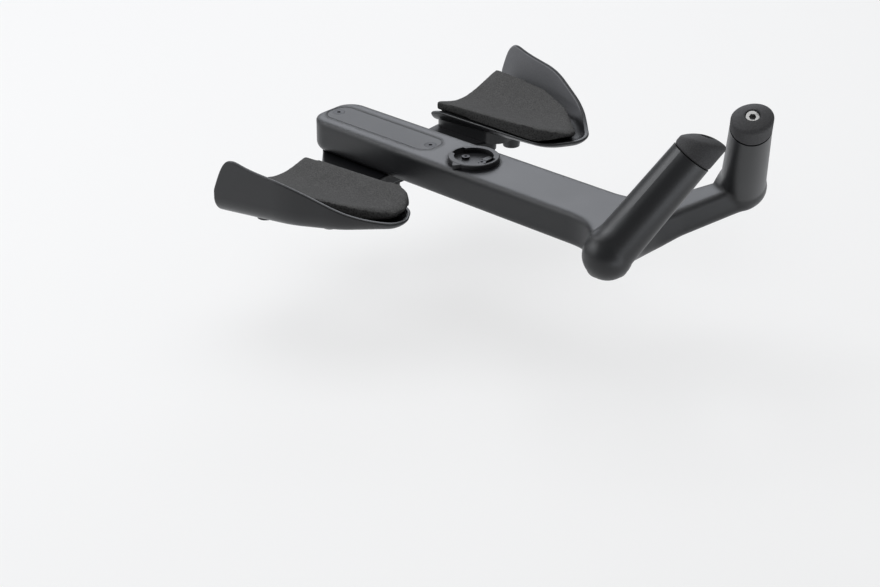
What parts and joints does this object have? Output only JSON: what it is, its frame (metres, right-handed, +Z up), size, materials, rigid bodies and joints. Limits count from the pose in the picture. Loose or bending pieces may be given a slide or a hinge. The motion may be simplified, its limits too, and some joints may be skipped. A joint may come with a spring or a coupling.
{
  "type": "aero handlebar extension",
  "caption": "One-piece forked aero handlebar extension with upright grips, clip-on armrest cups and pads, riser spacers and a quarter-turn computer mount.",
  "frame": {"origin": "centre of the lowest spacer's underside, midway between the two clamp bolts", "axes": "+X forward along the beam, +Y to the rider's left, +Z up from the handlebar"},
  "size_m": [0.3559, 0.2928, 0.1485],
  "materials": {
    "carbon_satin": "satin black lacquer on moulded carbon",
    "alloy_black": "satin black anodised",
    "cover_satin": "satin",
    "screw_dark": "blackened steel",
    "bolt_bright": "bright steel",
    "mount_plastic": "fine matte grain",
    "spacer_plastic": "matte",
    "cup_plastic": "satin moulded",
    "pad_foam": "soft textured foam cover",
    "patch_fabric": "hook and loop",
    "insert_brass": "turned",
    "cap_rubber": "fine matte grain",
    "sleeve_rubber": "smooth",
    "nut_alloy": "turned"
  },
  "bodies": {
    "root": {"extension_body": "carbon_satin", "armrest_bridge": "alloy_black", "top_cover": "cover_satin", "cover_screws": "screw_dark", "clamp_bolts": "bolt_bright", "clamp_washers": "bolt_bright", "computer_mount": "mount_plastic", "computer_mount_screws": "bolt_bright", "spacer_upper": "spacer_plastic", "spacer_middle": "spacer_plastic", "spacer_lower": "spacer_plastic", "left_cup": "cup_plastic", "right_cup": "cup_plastic", "left_pad": "pad_foam", "right_pad": "pad_foam", "left_pad_patches": "patch_fabric", "right_pad_patches": "patch_fabric", "cup_screws": "bolt_bright", "cup_inserts": "insert_brass", "left_grip_cap": "cap_rubber", "right_grip_cap": "cap_rubber", "cap_bolts": "bolt_bright", "left_expander_sleeve": "sleeve_rubber", "right_expander_sleeve": "sleeve_rubber", "left_expander_nut": "nut_alloy", "right_expander_nut": "nut_alloy"}
  },
  "joints": []
}
